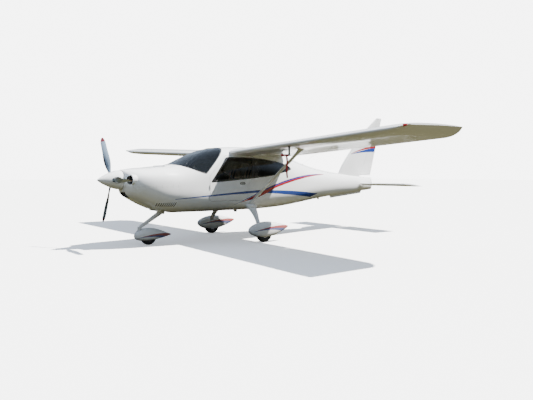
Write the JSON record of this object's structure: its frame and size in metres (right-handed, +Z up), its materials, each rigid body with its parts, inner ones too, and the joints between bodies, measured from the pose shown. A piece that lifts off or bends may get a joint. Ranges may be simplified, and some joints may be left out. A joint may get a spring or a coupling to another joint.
{
  "type": "light aircraft",
  "caption": "Two-seat high-wing light aircraft with strut-braced wings, faired tricycle landing gear, hinged doors and moving control surfaces.",
  "frame": {"origin": "on the ground, under the middle of the aircraft's length, in its plane of symmetry", "axes": "+X forward towards the spinner, +Y towards the pilot's left, +Z up"},
  "size_m": [6.97, 8.8978, 2.587],
  "materials": {
    "body_gelcoat": "gloss",
    "strut_paint": "gloss",
    "firewall_metal": "satin",
    "engine_metal": "matte",
    "exhaust_steel": "satin",
    "propeller_paint": "gloss",
    "tinted_glass": "gloss",
    "axle_steel": "satin",
    "fork_paint": "gloss",
    "rim_alloy": "satin",
    "tyre_rubber": "matte",
    "cabin_lining": "matte",
    "panel_black": "matte",
    "seat_fabric": "matte",
    "cover_cloth": "matte",
    "lamp_lens": "gloss"
  },
  "bodies": {
    "airframe": {"cowl_upper": "body_gelcoat", "cowl_lower": "body_gelcoat", "firewall": "firewall_metal", "engine_block": "engine_metal", "exhaust_pipe": "exhaust_steel", "cabin_shell": "body_gelcoat", "tail_cone": "body_gelcoat", "windshield": "tinted_glass", "quarter_windows": "tinted_glass", "wings": "body_gelcoat", "lift_struts": "strut_paint", "fin": "body_gelcoat", "main_legs": "body_gelcoat", "main_axles": "axle_steel", "main_pants": "body_gelcoat", "nose_leg": "body_gelcoat", "cabin_floor": "cabin_lining", "instrument_panel": "panel_black", "seat_cushions": "seat_fabric", "seat_backs": "seat_fabric", "control_stick": "panel_black", "pitot_mast": "strut_paint", "pitot_cover": "cover_cloth", "tip_lights": "lamp_lens"},
    "propeller": {"propeller": "propeller_paint", "spinner": "body_gelcoat"},
    "door_left": {"door_left": "body_gelcoat", "door_glass_left": "tinted_glass"},
    "door_right": {"door_right": "body_gelcoat", "door_glass_right": "tinted_glass"},
    "flap_left": {"flap_left": "body_gelcoat"},
    "flap_right": {"flap_right": "body_gelcoat"},
    "aileron_left": {"aileron_left": "body_gelcoat"},
    "aileron_right": {"aileron_right": "body_gelcoat"},
    "rudder": {"rudder": "body_gelcoat"},
    "stabilator": {"stabilator": "body_gelcoat"},
    "anti_servo_tab": {"anti_servo_tab": "body_gelcoat"},
    "main_wheel_left": {"main_tyre_left": "tyre_rubber", "main_rim_left": "rim_alloy"},
    "main_wheel_right": {"main_tyre_right": "tyre_rubber", "main_rim_right": "rim_alloy"},
    "nose_fork": {"nose_fork": "fork_paint", "nose_axle": "axle_steel", "nose_pant": "body_gelcoat"},
    "nose_wheel": {"nose_tyre": "tyre_rubber", "nose_rim": "rim_alloy"}
  },
  "joints": [
    {"name": "propeller_spin", "type": "hinge", "parent": "airframe", "child": "propeller", "pos_m": [3.235, 0, 1.136], "axis": [1, 0, 0], "continuous": true},
    {"name": "door_left_swing", "type": "hinge", "parent": "airframe", "child": "door_left", "pos_m": [1.6875, 0.597, 0.92], "axis": [0, 0, -1], "range_deg": [0, 70]},
    {"name": "door_right_swing", "type": "hinge", "parent": "airframe", "child": "door_right", "pos_m": [1.6875, -0.597, 0.92], "axis": [0, 0, 1], "range_deg": [0, 70]},
    {"name": "flap_left_hinge", "type": "hinge", "parent": "airframe", "child": "flap_left", "pos_m": [0.2468, 1.5, 1.66941], "axis": [0, -0.9988, -0.048], "range_deg": [0, 38]},
    {"name": "flap_right_hinge", "type": "hinge", "parent": "airframe", "child": "flap_right", "pos_m": [0.2468, -1.5, 1.66941], "axis": [0, -0.9988, 0.048], "range_deg": [0, 38]},
    {"name": "aileron_left_hinge", "type": "hinge", "parent": "airframe", "child": "aileron_left", "pos_m": [0.2468, 1.5, 1.66941], "axis": [0, -0.9988, -0.048], "range_deg": [-20, 20]},
    {"name": "aileron_right_hinge", "type": "hinge", "parent": "airframe", "child": "aileron_right", "pos_m": [0.2468, -1.5, 1.66941], "axis": [0, -0.9988, 0.048], "range_deg": [-20, 20]},
    {"name": "rudder_hinge", "type": "hinge", "parent": "airframe", "child": "rudder", "pos_m": [-2.73, 0, 1.215], "axis": [-0.4173, 0, 0.9088], "range_deg": [-25, 25]},
    {"name": "stabilator_hinge", "type": "hinge", "parent": "airframe", "child": "stabilator", "pos_m": [-2.78, 0, 1.012], "axis": [0, 1, 0], "range_deg": [-2, 18]},
    {"name": "anti_servo_hinge", "type": "hinge", "parent": "stabilator", "child": "anti_servo_tab", "pos_m": [-3.07886, 0, 0.98585], "axis": [0, 1, 0], "range_deg": [-1.2, 9.5]},
    {"name": "main_wheel_left_spin", "type": "hinge", "parent": "airframe", "child": "main_wheel_left", "pos_m": [0.753, 0.92, 0.165], "axis": [0, 1, 0], "continuous": true},
    {"name": "main_wheel_right_spin", "type": "hinge", "parent": "airframe", "child": "main_wheel_right", "pos_m": [0.753, -0.92, 0.165], "axis": [0, 1, 0], "continuous": true},
    {"name": "nose_steer", "type": "hinge", "parent": "airframe", "child": "nose_fork", "pos_m": [2.757, 0, 0.26], "axis": [0, 0, 1], "range_deg": [-30, 30]},
    {"name": "nose_wheel_spin", "type": "hinge", "parent": "nose_fork", "child": "nose_wheel", "pos_m": [2.59, 0, 0.142], "axis": [0, 1, 0], "continuous": true}
  ],
  "couplings": [
    {"joint": "flap_right_hinge", "follows": "flap_left_hinge", "ratio": 1},
    {"joint": "aileron_right_hinge", "follows": "aileron_left_hinge", "ratio": -1},
    {"joint": "anti_servo_hinge", "follows": "stabilator_hinge", "ratio": 0.5}
  ]
}
